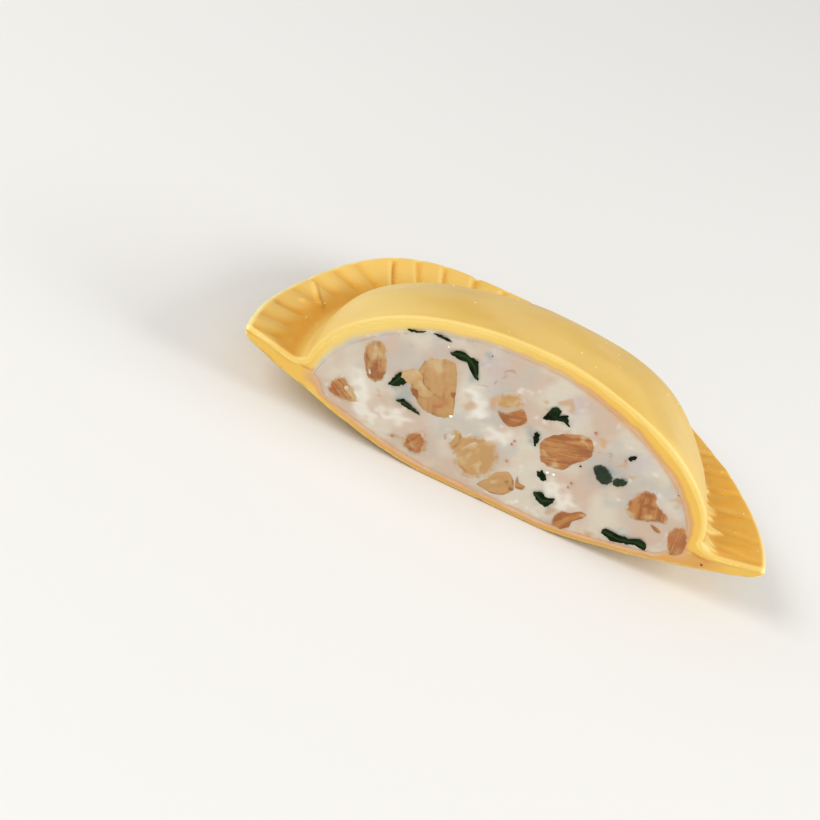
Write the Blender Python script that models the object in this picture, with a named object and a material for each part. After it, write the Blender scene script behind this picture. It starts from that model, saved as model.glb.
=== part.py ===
"""Half of a large round stuffed raviolo, cut across its middle and lying on its belly.

Two pasta sheets are pressed together round a flat crimped flange. The cut face shows a
creamy filling with mushroom pieces. Run it with: blender --background --python part.py

Frame: +X runs along the cut, the cut face looks to -Y, +Z is up. The origin is under the
middle of the bounding box, on the surface that the flat spot of the belly rests on.
"""
import math

import bmesh
import bpy
import numpy as np
from mathutils import Matrix, Vector

MM = 0.001

# Rim of the whole raviolo, seen from above, with a gentle wave that also lifts the flange.
RIM_RADIUS = 35.0 * MM
RIM_SCALLOP = 0.35 * MM
WAVE_COUNT = 6
WAVE_ANGLE = math.radians(123.0)
FLANGE_LIFT = 0.45 * MM

# Behind the dome, on the right, the flange hangs a little and the dome bulges over it.
DROOP = 1.1 * MM
DROOP_START = math.radians(28.0)
DROOP_END = math.radians(92.0)
BULGE = 0.45 * MM
BULGE_ANGLE = math.radians(50.0)
BULGE_SPREAD = math.radians(20.0)

# Heights are measured from the level of the seam at the rim.
DOME_HEIGHT = 15.7 * MM
BELLY_DEPTH = 8.2 * MM
DOME_RADIUS = 28.7 * MM
DOME_CUT_SHRINK = 1.7 * MM
DOME_SIDE_SHRINK = 0.4 * MM
FOOT_FILLET = 1.6 * MM

# Pasta sheets and flange.
TOP_SHEET = 2.0 * MM
TOP_SHEET_SIDE = 1.8 * MM
BOTTOM_SHEET = 1.15 * MM
FLANGE_TOP_SHEET = 0.85 * MM
FLANGE_FOOT_Z = -0.85 * MM
FLANGE_RIM_Z = 0.5 * MM
FLANGE_THICKNESS = 1.7 * MM
RIM_ROUNDING = 0.35 * MM

# Flat spot of the belly: its reach along the cut, and how much further it goes backwards.
FLAT_REACH = 8.0 * MM
FLAT_REACH_BACK = 10.0 * MM
BELLY_POWER = 1.35

# Crimp marks pressed into the flange.
CRIMP_COUNT = 34
CRIMP_LENGTH = 4.4 * MM
CRIMP_WIDTH = 1.2 * MM
CRIMP_HEIGHT = 1.0 * MM
CRIMP_DEPTH = 0.38 * MM

# Clearance between neighbouring pieces.
GAP = 0.3 * MM

SEGMENTS = 44

# Mushroom pieces in the cut face: x and z of the middle, width, height, tilt in degrees,
# depth into the filling, number of sides. Lengths in millimetres, z from the seam level.
MUSHROOMS = [
    (-21.7, -0.9, 3.7, 3.7, 10, 3.0, 7),
    (-19.6, 3.5, 3.7, 6.2, 20, 4.0, 8),
    (-12.8, 4.6, 8.6, 9.4, -15, 5.5, 9),
    (-2.8, 6.3, 5.2, 5.0, 30, 4.0, 7),
    (-11.3, -3.9, 3.2, 3.4, 15, 3.0, 7),
    (-5.1, -2.0, 7.4, 7.4, 25, 5.5, 9),
    (1.4, -4.0, 4.6, 3.8, -20, 4.0, 8),
    (5.6, 4.5, 7.2, 6.4, -20, 5.0, 8),
    (10.8, -4.0, 3.6, 3.4, 35, 3.5, 7),
    (18.3, 2.1, 5.8, 5.0, -25, 4.0, 8),
    (22.3, -1.2, 2.8, 3.7, -10, 3.0, 7),
]


def rim_radius(theta):
    """Radius of the outer edge at the angle theta from +X."""
    return RIM_RADIUS + RIM_SCALLOP * np.cos(WAVE_COUNT * (theta - WAVE_ANGLE))


def dome_radius(theta):
    """Radius of the dome's foot: a little less where the cut lets the dome slump."""
    cosine = np.cos(theta)
    bulge = BULGE * np.exp(-(((theta - BULGE_ANGLE) / BULGE_SPREAD) ** 2))
    return DOME_RADIUS + bulge - DOME_CUT_SHRINK * cosine**6 - DOME_SIDE_SHRINK * cosine**5


def dome_curve(share, theta):
    """Height of the dome as a share of its full height, at a share of its radius."""
    left = ((1.0 - np.cos(theta)) / 2.0) ** 12
    power = 1.5 + 0.9 * left
    fullness = 0.60 - 0.08 * np.cos(theta) ** 2
    inside = np.clip(1.0 - np.clip(share, 0.0, 1.0) ** power, 0.0, 1.0) ** fullness
    return inside - 2.0 * np.clip(share - 1.0, 0.0, None)


def smooth_step(low, high, value):
    """Ease from 0 at low to 1 at high."""
    share = np.clip((value - low) / (high - low), 0.0, 1.0)
    return share * share * (3.0 - 2.0 * share)


def smooth_max(first, second, blend):
    """Larger of two heights, with a fillet of about the size blend between them."""
    share = np.clip(0.5 + 0.5 * (first - second) / blend, 0.0, 1.0)
    return second + (first - second) * share + blend * share * (1.0 - share)


def flange_share(radius, theta):
    """0 at the dome's foot and 1 at the rim."""
    foot = dome_radius(theta)
    return np.clip((radius - foot) / (rim_radius(theta) - foot), 0.0, 1.0)


def wave_lift(radius, theta):
    """Up and down wave and droop of the flange, which fade out towards the dome."""
    wave = FLANGE_LIFT * np.cos(WAVE_COUNT * (theta - WAVE_ANGLE))
    middle = (DROOP_START + DROOP_END) / 2.0
    hang = smooth_step(DROOP_START, middle, theta) * smooth_step(DROOP_END, middle, theta)
    return (wave - DROOP * np.sqrt(hang)) * flange_share(radius, theta) ** 1.5


def flange_level(radius, theta):
    """Top face of the flange without its rounded edge."""
    share = flange_share(radius, theta)
    return FLANGE_FOOT_Z + (FLANGE_RIM_Z - FLANGE_FOOT_Z) * share + wave_lift(radius, theta)


def edge_rounding(radius, theta):
    """Drop of a face at the very edge of the rim."""
    share = np.clip((flange_share(radius, theta) - 0.8) / 0.2, 0.0, 1.0)
    return RIM_ROUNDING * share**2


def seam_level(radius, theta):
    """Surface in which the two sheets meet."""
    return flange_level(radius, theta) - FLANGE_TOP_SHEET


def top_outside(radius, theta):
    """Upper face of the upper sheet: dome, fillet and flange."""
    dome = DOME_HEIGHT * dome_curve(radius / dome_radius(theta), theta)
    flange = flange_level(radius, theta) - edge_rounding(radius, theta)
    return smooth_max(dome, flange, FOOT_FILLET)


def inner_dome(radius, theta, shrink):
    """Face offset inwards from the dome, by shrink more than the sheet's thickness."""
    base = seam_level(radius, theta)
    crown = DOME_HEIGHT - TOP_SHEET - shrink
    share = radius / (dome_radius(theta) - TOP_SHEET_SIDE - shrink)
    return base + (crown - base) * dome_curve(share, theta)


def top_inside(radius, theta):
    """Lower face of the upper sheet: the vault over the filling, then the seam."""
    seam = seam_level(radius, theta) + GAP / 2.0
    return np.maximum(inner_dome(radius, theta, 0.0), seam)


def flat_radius(theta):
    """Edge of the flat spot that the raviolo rests on."""
    return FLAT_REACH + FLAT_REACH_BACK * np.sin(theta)


def bottom_outside(radius, theta):
    """Lower face of the lower sheet: flat spot, belly and underside of the flange."""
    flat = flat_radius(theta)
    rim = rim_radius(theta)
    share = np.clip((radius - flat) / (rim - flat), 0.0, 1.0)
    edge = FLANGE_RIM_Z - FLANGE_THICKNESS + edge_rounding(radius, theta)
    level = -BELLY_DEPTH + (BELLY_DEPTH + edge) * share**BELLY_POWER
    return level + wave_lift(radius, theta)


def bottom_inside(radius, theta):
    """Upper face of the lower sheet: the bowl under the filling, then the seam."""
    foot = dome_radius(theta)
    bowl = bottom_outside(radius, theta) + BOTTOM_SHEET
    seam = seam_level(radius, theta) - GAP / 2.0
    return bowl + (seam - bowl) * smooth_step(0.86 * foot, 0.98 * foot, radius)


def filling_top(radius, theta):
    """Upper face of the filling, clear of the vault."""
    return inner_dome(radius, theta, GAP)


def filling_bottom(radius, theta):
    """Lower face of the filling, clear of the bowl."""
    return bottom_inside(radius, theta) + 1.5 * GAP


def half_lens(name, upper_radii, lower_radii, upper, lower):
    """Closed solid between two faces over the half disc, cut flat through the middle.

    The radii functions turn an array of angles into rows of radii, from the middle to the
    edge, and both give the same number of rows. upper and lower give the heights.
    """
    theta = np.linspace(0.0, math.pi, SEGMENTS + 1)
    faces = []
    points = [(0.0, 0.0, float(upper(0.0, 0.0))), (0.0, 0.0, float(lower(0.0, 0.0)))]
    rings = []
    for radii, height in ((upper_radii(theta), upper), (lower_radii(theta), lower)):
        first = len(points)
        for radius in radii:
            x = radius * np.cos(theta)
            y = radius * np.sin(theta)
            y[0] = y[-1] = 0.0
            points.extend(zip(x, y, height(radius, theta)))
        rings.append(np.arange(first, len(points)).reshape(len(radii), SEGMENTS + 1))
    top, bottom = rings
    for k in range(SEGMENTS):
        faces.append((0, top[0, k], top[0, k + 1]))
        faces.append((1, bottom[0, k + 1], bottom[0, k]))
        faces.append((top[-1, k], bottom[-1, k], bottom[-1, k + 1], top[-1, k + 1]))
        for row in range(len(top) - 1):
            faces.append((top[row, k], top[row + 1, k], top[row + 1, k + 1], top[row, k + 1]))
            faces.append((bottom[row, k], bottom[row, k + 1],
                          bottom[row + 1, k + 1], bottom[row + 1, k]))
    for side in (0, SEGMENTS):
        upper_line = [0, *top[:, side]]
        lower_line = [1, *bottom[:, side]]
        for row in range(len(top)):
            faces.append((upper_line[row], lower_line[row],
                          lower_line[row + 1], upper_line[row + 1]))
    mesh = bpy.data.meshes.new(name)
    mesh.from_pydata([Vector(point) for point in points], [],
                     [[int(index) for index in face] for face in faces])
    return solid_from_mesh(name, mesh)


def solid_from_mesh(name, mesh):
    """Object in the scene, with triangles and with all faces pointing out."""
    work = bmesh.new()
    work.from_mesh(mesh)
    bmesh.ops.triangulate(work, faces=work.faces[:])
    bmesh.ops.recalc_face_normals(work, faces=work.faces[:])
    work.to_mesh(mesh)
    work.free()
    solid = bpy.data.objects.new(name, mesh)
    bpy.context.scene.collection.objects.link(solid)
    return solid


def shade_round(solid):
    """Smooth shading that keeps the edges of the cut sharp."""
    solid.data.shade_smooth()
    solid.data.set_sharp_from_angle(angle=math.radians(40.0))


def hide_cutter(cutter):
    """Keep a cutter in the file as a guide only."""
    cutter.hide_render = True
    cutter.display_type = "WIRE"


def cut_with(solid, cutter):
    """Take the cutter's shape out of a solid."""
    modifier = solid.modifiers.new("cut " + cutter.name, "BOOLEAN")
    modifier.operation = "DIFFERENCE"
    modifier.solver = "EXACT"
    modifier.object = cutter
    hide_cutter(cutter)


def sheet_rows(foot_shares, edge_shares, foot):
    """Rows of radii: shares of the foot's radius, then shares of the way to the rim."""
    def rows(theta):
        inner = foot(theta)
        outer = rim_radius(theta)
        return [share * inner for share in foot_shares] + [
            inner + share * (outer - inner) for share in edge_shares]
    return rows


def material(name, colour, roughness):
    """Principled material of one kind of food."""
    surface = bpy.data.materials.new(name)
    surface.use_nodes = True
    shader = surface.node_tree.nodes["Principled BSDF"]
    shader.inputs["Base Color"].default_value = (*colour, 1.0)
    shader.inputs["Roughness"].default_value = roughness
    shader.inputs["Metallic"].default_value = 0.0
    surface.diffuse_color = (*colour, 1.0)
    return surface


def crimp_cutter():
    """One mesh of long soft dents, one for each crimp mark, round the flange."""
    work = bmesh.new()
    for number in range(CRIMP_COUNT):
        theta = math.pi * (number + 0.5) / CRIMP_COUNT
        foot = float(dome_radius(theta))
        rim = float(rim_radius(theta))
        radius = foot + 0.46 * (rim - foot)
        step = 1.0 * MM
        rise = float(flange_level(radius + step, theta) - flange_level(radius - step, theta))
        height = float(top_outside(radius, theta)) + CRIMP_HEIGHT / 2.0 - CRIMP_DEPTH
        place = (Matrix.Rotation(theta, 4, "Z")
                 @ Matrix.Translation((radius, 0.0, height))
                 @ Matrix.Rotation(-math.atan2(rise, 2.0 * step), 4, "Y")
                 @ Matrix.Diagonal((CRIMP_LENGTH / 2.0, CRIMP_WIDTH / 2.0,
                                    CRIMP_HEIGHT / 2.0, 1.0)))
        bmesh.ops.create_uvsphere(work, u_segments=8, v_segments=4, radius=1.0, matrix=place)
    mesh = bpy.data.meshes.new("crimp_cutter")
    work.to_mesh(mesh)
    work.free()
    return solid_from_mesh("crimp_cutter", mesh)


def make_top_sheet(pasta):
    """Upper sheet: the dome over the filling and the crimped upper half of the flange."""
    dome = [0.20, 0.38, 0.54, 0.68, 0.80, 0.89, 0.95, 0.985, 1.0]
    flange = [0.14, 0.36, 0.62, 0.84, 1.0]

    def vault_radius(theta):
        return dome_radius(theta) - TOP_SHEET_SIDE

    sheet = half_lens("pasta_top", sheet_rows(dome, flange, dome_radius),
                      sheet_rows(dome, flange, vault_radius), top_outside, top_inside)
    sheet.data.materials.append(pasta)
    shade_round(sheet)
    cut_with(sheet, crimp_cutter())
    return sheet


def make_bottom_sheet(pasta):
    """Lower sheet: the belly with its flat spot and the lower half of the flange."""
    flat = [0.55, 1.0]
    belly = [0.14, 0.30, 0.44, 0.55, 0.63, 0.70, 0.77, 0.84, 0.92, 1.0]
    rows = sheet_rows(flat, belly, flat_radius)
    sheet = half_lens("pasta_bottom", rows, rows, bottom_inside, bottom_outside)
    sheet.data.materials.append(pasta)
    shade_round(sheet)
    return sheet


def mushroom_block(name, row, grow, seed):
    """Uneven block whose front face lies in the cut; grow widens it into a pocket."""
    x, z, width, height, tilt, depth, sides = row
    chance = np.random.default_rng(seed)
    angles = 2.0 * math.pi * (np.arange(sides) + chance.uniform(-0.25, 0.25, sides)) / sides
    radii = chance.uniform(0.86, 1.0, sides)
    turn = math.radians(tilt)
    front = -3.0 * grow
    work = bmesh.new()
    for y, size in ((front, 0.94), (0.45 * depth * MM, 1.0), (depth * MM + grow, 0.62)):
        along = (width * MM / 2.0 * size + grow) * radii * np.cos(angles)
        across = (height * MM / 2.0 * size + grow) * radii * np.sin(angles)
        for a, b in zip(along, across):
            work.verts.new((x * MM + a * math.cos(turn) - b * math.sin(turn), y,
                            z * MM + a * math.sin(turn) + b * math.cos(turn)))
    bmesh.ops.convex_hull(work, input=work.verts[:])
    mesh = bpy.data.meshes.new(name)
    work.to_mesh(mesh)
    work.free()
    return solid_from_mesh(name, mesh)


def make_filling(cream):
    """Filling between the sheets, with a pocket for each mushroom piece."""
    shares = [0.20, 0.38, 0.54, 0.67, 0.78, 0.87, 0.93, 0.97, 1.0]

    def rows(theta):
        edge = dome_radius(theta) - TOP_SHEET_SIDE - GAP
        return [share * edge for share in shares]

    filling = half_lens("filling", rows, rows, filling_top, filling_bottom)
    filling.data.materials.append(cream)
    shade_round(filling)
    for number, row in enumerate(MUSHROOMS, start=1):
        cut_with(filling, mushroom_block(f"pocket_{number}", row, GAP, number))
    return filling


def make_mushrooms(brown):
    """Mushroom pieces that show in the cut face."""
    pieces = []
    for number, row in enumerate(MUSHROOMS, start=1):
        piece = mushroom_block(f"mushroom_{number}", row, 0.0, number)
        piece.data.materials.append(brown)
        pieces.append(piece)
    return pieces


def main():
    for thing in list(bpy.data.objects):
        bpy.data.objects.remove(thing)
    pasta = material("pasta", (0.80, 0.50, 0.14), 0.45)
    cream = material("filling", (0.74, 0.64, 0.52), 0.40)
    brown = material("mushroom", (0.44, 0.22, 0.08), 0.45)
    make_top_sheet(pasta)
    make_bottom_sheet(pasta)
    make_filling(cream)
    make_mushrooms(brown)

    # The pieces are drawn round the middle of the cut at seam level, and then stood on the
    # flat spot with the middle of their bounding box over the origin.
    theta = np.linspace(0.0, math.pi, SEGMENTS + 1)
    depth = float(np.max(rim_radius(theta) * np.sin(theta)))
    base = bpy.data.objects.new("base", None)
    base.location = (0.0, -depth / 2.0, BELLY_DEPTH)
    bpy.context.scene.collection.objects.link(base)
    for thing in bpy.data.objects:
        if thing is not base:
            thing.parent = base
    bpy.context.view_layer.update()


main()
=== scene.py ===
# Half of a large stuffed raviolo, cut across its middle: the looks of every piece.
# Shapes are worked out in millimetres in the cut's own frame: x along the cut, y away from
# the cut face, z up from the level of the seam at the rim. place() carries them to the row.
import math

import bmesh
import bpy
import numpy as np
from mathutils import Matrix, Vector


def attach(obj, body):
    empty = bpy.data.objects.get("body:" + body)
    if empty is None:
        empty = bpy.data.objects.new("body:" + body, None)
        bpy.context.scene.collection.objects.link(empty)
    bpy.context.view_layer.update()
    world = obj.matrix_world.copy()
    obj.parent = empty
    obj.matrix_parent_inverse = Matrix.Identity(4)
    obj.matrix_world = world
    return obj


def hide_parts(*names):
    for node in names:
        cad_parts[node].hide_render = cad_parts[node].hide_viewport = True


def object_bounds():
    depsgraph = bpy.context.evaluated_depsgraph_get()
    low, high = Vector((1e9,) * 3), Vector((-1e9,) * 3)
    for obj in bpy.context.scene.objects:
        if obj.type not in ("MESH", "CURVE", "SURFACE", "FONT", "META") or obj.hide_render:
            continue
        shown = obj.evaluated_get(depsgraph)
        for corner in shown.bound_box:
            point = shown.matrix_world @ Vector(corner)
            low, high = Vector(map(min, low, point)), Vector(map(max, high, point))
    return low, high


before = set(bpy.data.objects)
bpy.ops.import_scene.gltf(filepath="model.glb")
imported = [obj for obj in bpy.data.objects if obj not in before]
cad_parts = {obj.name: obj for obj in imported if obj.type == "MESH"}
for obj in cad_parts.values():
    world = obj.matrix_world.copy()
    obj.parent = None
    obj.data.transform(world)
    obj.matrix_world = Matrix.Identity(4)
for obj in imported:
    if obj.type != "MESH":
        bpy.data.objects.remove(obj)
cadLow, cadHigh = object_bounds()

millimetre = 0.001
lens = {
    "rimRadius": 35.0, "rimScallop": 0.35, "waveCount": 6, "waveAngle": math.radians(123.0),
    "flangeLift": 0.45, "domeHeight": 15.7, "bellyDepth": 8.2, "domeRadius": 28.7,
    "domeCutShrink": 1.7, "domeSideShrink": 0.4, "topSheet": 2.0, "topSheetSide": 1.8,
    "bottomSheet": 1.15, "flangeTopSheet": 0.85, "flangeFootZ": -0.85, "flangeRimZ": 0.5,
    "flangeThickness": 1.7, "rimRounding": 0.35, "roundedShare": 0.1, "fillet": 1.3,
    "filletRight": 1.9, "domePower": 1.5, "domePowerLeft": 0.9, "domeFullness": 0.60,
    "domeFullnessEnds": 0.08, "flatReach": 8.0, "flatReachBack": 10.0, "bellyPower": 1.35,
    "bowlEdge": 0.84, "seamGap": 0.1, "droop": 1.5, "droopStart": math.radians(32.0),
    "droopEnd": math.radians(92.0), "droopPower": 0.4,
    "bulge": 1.4, "bulgeAngle": math.radians(46.0), "bulgeSpread": math.radians(19.0),
    "shrink": 1.1, "shrinkAngle": math.radians(115.0), "shrinkSpread": math.radians(36.0),
    "tuck": 2.0, "tuckAngle": math.radians(65.0), "tuckSpread": math.radians(14.0),
}
cutY = cadLow.y / millimetre           # the cut face is the front of the CAD box
seamZ = cadLow.z / millimetre + lens["bellyDepth"]


def place(points):
    # from millimetres in the cut's frame to metres in the row's frame
    return (points + np.array([0.0, cutY, seamZ])) * millimetre


def ease(low, high, value):
    # smooth step: 0 below low, 1 above high, 3t^2 - 2t^3 between
    share = np.clip((value - low) / (high - low), 0.0, 1.0)
    return share * share * (3.0 - 2.0 * share)


def lumps(x, y, z, size, seed, waves=12):
    # soft noise of about -1 to 1: a sum of plane waves of about the given size
    chance = np.random.default_rng(seed)
    total = 0.0
    for _ in range(waves):
        way = chance.normal(size=3)
        way *= 2.0 * math.pi / (size * chance.uniform(0.7, 1.5)) / np.linalg.norm(way)
        total = total + np.sin(way[0] * x + way[1] * y + way[2] * z + chance.uniform(0.0, 6.3))
    return total / math.sqrt(waves)


def softMax(first, second, blend):
    # larger of two heights with a fillet between them
    share = np.clip(0.5 + 0.5 * (first - second) / blend, 0.0, 1.0)
    return second + (first - second) * share + blend * share * (1.0 - share)


def lineDistance(x, z, line):
    # distance from each point to the nearest stretch of an open line of points
    best = np.full(np.shape(x), 1e9)
    for (ax, az), (bx, bz) in zip(line[:-1], line[1:]):
        length = (bx - ax) ** 2 + (bz - az) ** 2
        share = np.clip(((x - ax) * (bx - ax) + (z - az) * (bz - az)) / length, 0.0, 1.0)
        best = np.minimum(best, np.hypot(x - ax - share * (bx - ax), z - az - share * (bz - az)))
    return best


def curveBetween(a, b, c, d, share):
    # Catmull-Rom cubic from b to c, steered by the points before and after
    return 0.5 * (2.0 * b + (c - a) * share + (2.0 * a - 5.0 * b + 4.0 * c - d) * share**2
                  + (3.0 * b - 3.0 * c + d - a) * share**3)


def smoothLine(points, steps=6):
    # the same open line with curves between its points
    line = np.array([points[0], *points, points[-1]])
    share = np.linspace(0.0, 1.0, steps, endpoint=False)[:, None]
    quads = zip(line[:-3], line[1:-2], line[2:-1], line[3:])
    return np.concatenate([*(curveBetween(*quad, share) for quad in quads), line[-1:]])


def nearLines(x, z, lines, width):
    # soft marks along lines: a bell curve over the distance to the nearest line
    total = np.zeros(np.shape(x))
    for line in lines:
        total = np.maximum(total, np.exp(-(lineDistance(x, z, line) / width) ** 2))
    return total


def addObject(name, data):
    thing = bpy.data.objects.new(name, data)
    bpy.context.scene.collection.objects.link(thing)
    return thing


def gridFaces(rows, columns, first, closed):
    # four-sided faces between neighbouring rows and columns
    index = first + np.arange(rows * columns).reshape(rows, columns)
    nextColumn = np.roll(index, -1, axis=1) if closed else index[:, 1:]
    here = index if closed else index[:, :-1]
    faces = np.stack([here[:-1], here[1:], nextColumn[1:], nextColumn[:-1]], axis=-1)
    return faces.reshape(-1, 4)


def makePiece(name, grids, finish, sharp):
    # each grid holds points, whether it closes on itself, and values for the vertices
    points, faces = [], []
    names = sorted({key for grid in grids for key in grid.get("values", {})})
    values = {key: [] for key in names}
    count = 0
    for grid in grids:
        rows, columns = grid["points"].shape[:2]
        points.append(grid["points"].reshape(-1, 3))
        faces.append(gridFaces(rows, columns, count, grid.get("closed", False)))
        count += rows * columns
        for key in names:
            value = grid.get("values", {}).get(key, 0.0)
            values[key].append(np.broadcast_to(value, (rows, columns)).reshape(-1))
    mesh = bpy.data.meshes.new(name)
    mesh.from_pydata(place(np.concatenate(points)), [], np.concatenate(faces))
    for key in names:
        layer = mesh.attributes.new(key, "FLOAT", "POINT")
        layer.data.foreach_set("value", np.concatenate(values[key]).astype(np.float32))
    work = bmesh.new()
    work.from_mesh(mesh)
    bmesh.ops.remove_doubles(work, verts=work.verts[:], dist=0.004 * millimetre)
    bmesh.ops.dissolve_degenerate(work, edges=work.edges[:], dist=0.001 * millimetre)
    bmesh.ops.recalc_face_normals(work, faces=work.faces[:])
    work.to_mesh(mesh)
    work.free()
    mesh.shade_smooth()
    mesh.set_sharp_from_angle(angle=math.radians(sharp))
    mesh.materials.append(finish)
    return addObject(name, mesh)


def tone(red, green, blue):
    # screen colour of 0 to 255 turned to a linear one
    share = np.array([red, green, blue]) / 255.0
    linear = np.where(share > 0.04045, ((share + 0.055) / 1.055) ** 2.4, share / 12.92)
    return (*linear.tolist(), 1.0)


class Signal:
    # a shader socket that can stand in sums and products
    def __init__(self, tree, socket):
        self.tree = tree
        self.socket = socket

    def node(self, kind, settings=None, inputs=None, output=0):
        made = self.tree.nodes.new("ShaderNode" + kind)
        for key, value in (settings or {}).items():
            setattr(made, key, value)
        for key, value in (inputs or {}).items():
            if isinstance(value, Signal):
                self.tree.links.new(value.socket, made.inputs[key])
            else:
                made.inputs[key].default_value = value
        return Signal(self.tree, made.outputs[output])

    def maths(self, operation, first, second=0.0):
        return self.node("Math", {"operation": operation}, {0: first, 1: second})

    def __add__(self, other):
        return self.maths("ADD", self, other)

    def __radd__(self, other):
        return self.maths("ADD", other, self)

    def __sub__(self, other):
        return self.maths("SUBTRACT", self, other)

    def __rsub__(self, other):
        return self.maths("SUBTRACT", other, self)

    def __mul__(self, other):
        return self.maths("MULTIPLY", self, other)

    def __rmul__(self, other):
        return self.maths("MULTIPLY", other, self)

    def band(self, low, high):
        # 0 at low, 1 at high, smooth between; low may be the larger
        settings = {"interpolation_type": "SMOOTHSTEP"}
        if low < high:
            return self.node("MapRange", settings, {0: self, 1: low, 2: high})
        return self.node("MapRange", settings, {0: self, 1: high, 2: low, 3: 1.0, 4: 0.0})

    def blend(self, first, second):
        # colour that goes from first to second as this value goes from 0 to 1
        settings = {"data_type": "RGBA", "clamp_factor": True}
        return self.node("Mix", settings, {0: self, 6: first, 7: second}, 2)

    def noise(self, size, detail=2.0, roughness=0.5, stretch=(1.0, 1.0, 1.0), shift=0.0):
        # noise of about the given size in millimetres on the piece's own coordinates
        where = self.node("Mapping", None, {
            "Vector": self, "Location": (shift, shift, shift), "Scale": stretch})
        scale = 1.0 / (size * millimetre)
        return self.node("TexNoise", None, {
            "Vector": where, "Scale": scale, "Detail": detail, "Roughness": roughness})


def newFinish(name):
    # a material with its shader, the object's coordinates and a reader of vertex values
    finish = bpy.data.materials.new(name)
    finish.use_nodes = True
    tree = finish.node_tree
    shader = tree.nodes["Principled BSDF"]
    start = Signal(tree, shader.outputs[0])
    where = start.node("TexCoord", output=3)

    def value(key):
        return start.node("Attribute", {"attribute_name": key}, output=2)

    return finish, shader, where, value


def connect(shader, key, signal):
    signal.tree.links.new(signal.socket, shader.inputs[key])


def setBump(shader, height, strength, distance):
    # fine relief, with its full height in millimetres
    connect(shader, "Normal", height.node("Bump", None, {
        "Strength": strength, "Distance": distance * millimetre, "Height": height}))


def setSoftBody(shader, weight, scale, radius):
    # a little light passes through food
    shader.inputs["Subsurface Weight"].default_value = weight
    shader.inputs["Subsurface Scale"].default_value = scale * millimetre
    shader.inputs["Subsurface Radius"].default_value = radius


# Some of these tones paint light and shade: the pale tone partly, and the rim line, the cut's edge
# tone and the warm tone as painted light; the pressed orange partly and the crack tone as painted
# shade.
pastaLook = {
    "yolk": tone(229, 190, 100), "deep": tone(220, 178, 80), "pale": tone(244, 218, 136),
    "pressed": tone(222, 160, 46), "warm": tone(248, 206, 112), "rimHighlight": tone(248, 226, 150),
    "cutEdgeHighlight": tone(242, 208, 104), "cutBand": tone(236, 188, 80), "under": tone(209, 149, 78),
    "cutInner": tone(214, 150, 82), "cutPale": tone(230, 206, 142), "grain": tone(248, 228, 165),
    "crack": tone(206, 132, 60), "cutLight": tone(240, 216, 126),
}


def pastaFinish():
    finish, shader, where, value = newFinish("pastaFinish")
    look = pastaLook
    cloud = where.noise(11.0, 2.0).band(0.35, 0.65)
    body = cloud.blend(look["deep"], look["yolk"])
    # painted light: the outer left flange made brighter and warmer, as if better lit
    body = (value("warm") * 0.85).blend(body, look["warm"])
    # orange of pressed dough, with painted shade at the dome's foot, in the slots and on the right
    # flange
    body = value("pressed").blend(body, look["pressed"])
    # pale paint: a paler thin rim and fingers, painted sheen on the dome's sides and painted
    # highlights on the cut's corner and the lips
    body = (value("rim") * 0.85).blend(body, look["pale"])
    # painted highlight on the rim's thin edge and wall
    body = value("rim").band(0.75, 1.0).blend(body, look["rimHighlight"])
    speck = where.noise(0.45, 1.0, shift=3.0).band(0.72, 0.80) * 0.4
    body = speck.blend(body, look["grain"])
    across = value("across")
    wander = (where.noise(2.2, 3.0, shift=1.0) - 0.5) * 0.5
    # painted highlight: a lighter line along the cut face's outer edge, next to the corner
    face = (across + wander * 0.4).band(0.04, 0.20).blend(look["cutEdgeHighlight"], look["cutBand"])
    face = ((1.0 - value("stain")) * value("contact") * 0.75).blend(face, look["cutLight"])
    face = (value("under") * 0.7).blend(face, look["under"])
    touch = value("stain").blend(look["cutPale"], look["cutInner"])
    inner = across + wander - value("stain") * 0.14
    face = (inner.band(0.34, 0.70) * value("contact")).blend(face, touch)
    filled = (across + wander).band(0.62, 0.95) * value("contact")
    face = filled.blend(face, fillingColour(where, value))
    # painted shade in the splits along the seam
    face = (value("crack") * 0.8).blend(face, look["crack"])
    connect(shader, "Base Color", value("cut").blend(body, face))
    connect(shader, "Roughness", where.noise(4.0, 3.0, shift=2.0) * 0.22 + 0.36)
    setBump(shader, where.noise(0.9, 3.0, 0.6, shift=5.0), 0.08, 0.2)
    setSoftBody(shader, 0.15, 1.6, (1.0, 0.55, 0.2))
    return finish


fillingLook = {
    "cream": tone(213, 203, 184), "pink": tone(204, 181, 160), "cool": tone(190, 185, 175),
    "tan": tone(202, 162, 120), "white": tone(238, 234, 222), "edge": tone(220, 166, 112),
    "herbStain": tone(150, 164, 164), "line": tone(140, 118, 112), "lavender": tone(198, 186, 184),
}


def milkyColour(where):
    # soft clouds of cream, pink, grey, tan and white
    look = fillingLook
    base = where.noise(6.5, 2.0).band(0.40, 0.60).blend(look["pink"], look["cream"])
    base = (where.noise(5.0, 2.0, shift=4.0).band(0.50, 0.66) * 0.7).blend(base, look["cool"])
    base = (where.noise(3.0, 3.0, 0.6, shift=9.0).band(0.62, 0.76) * 0.5).blend(base, look["tan"])
    return (where.noise(2.6, 2.0, shift=6.0).band(0.60, 0.72) * 0.5).blend(base, look["white"])


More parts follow.
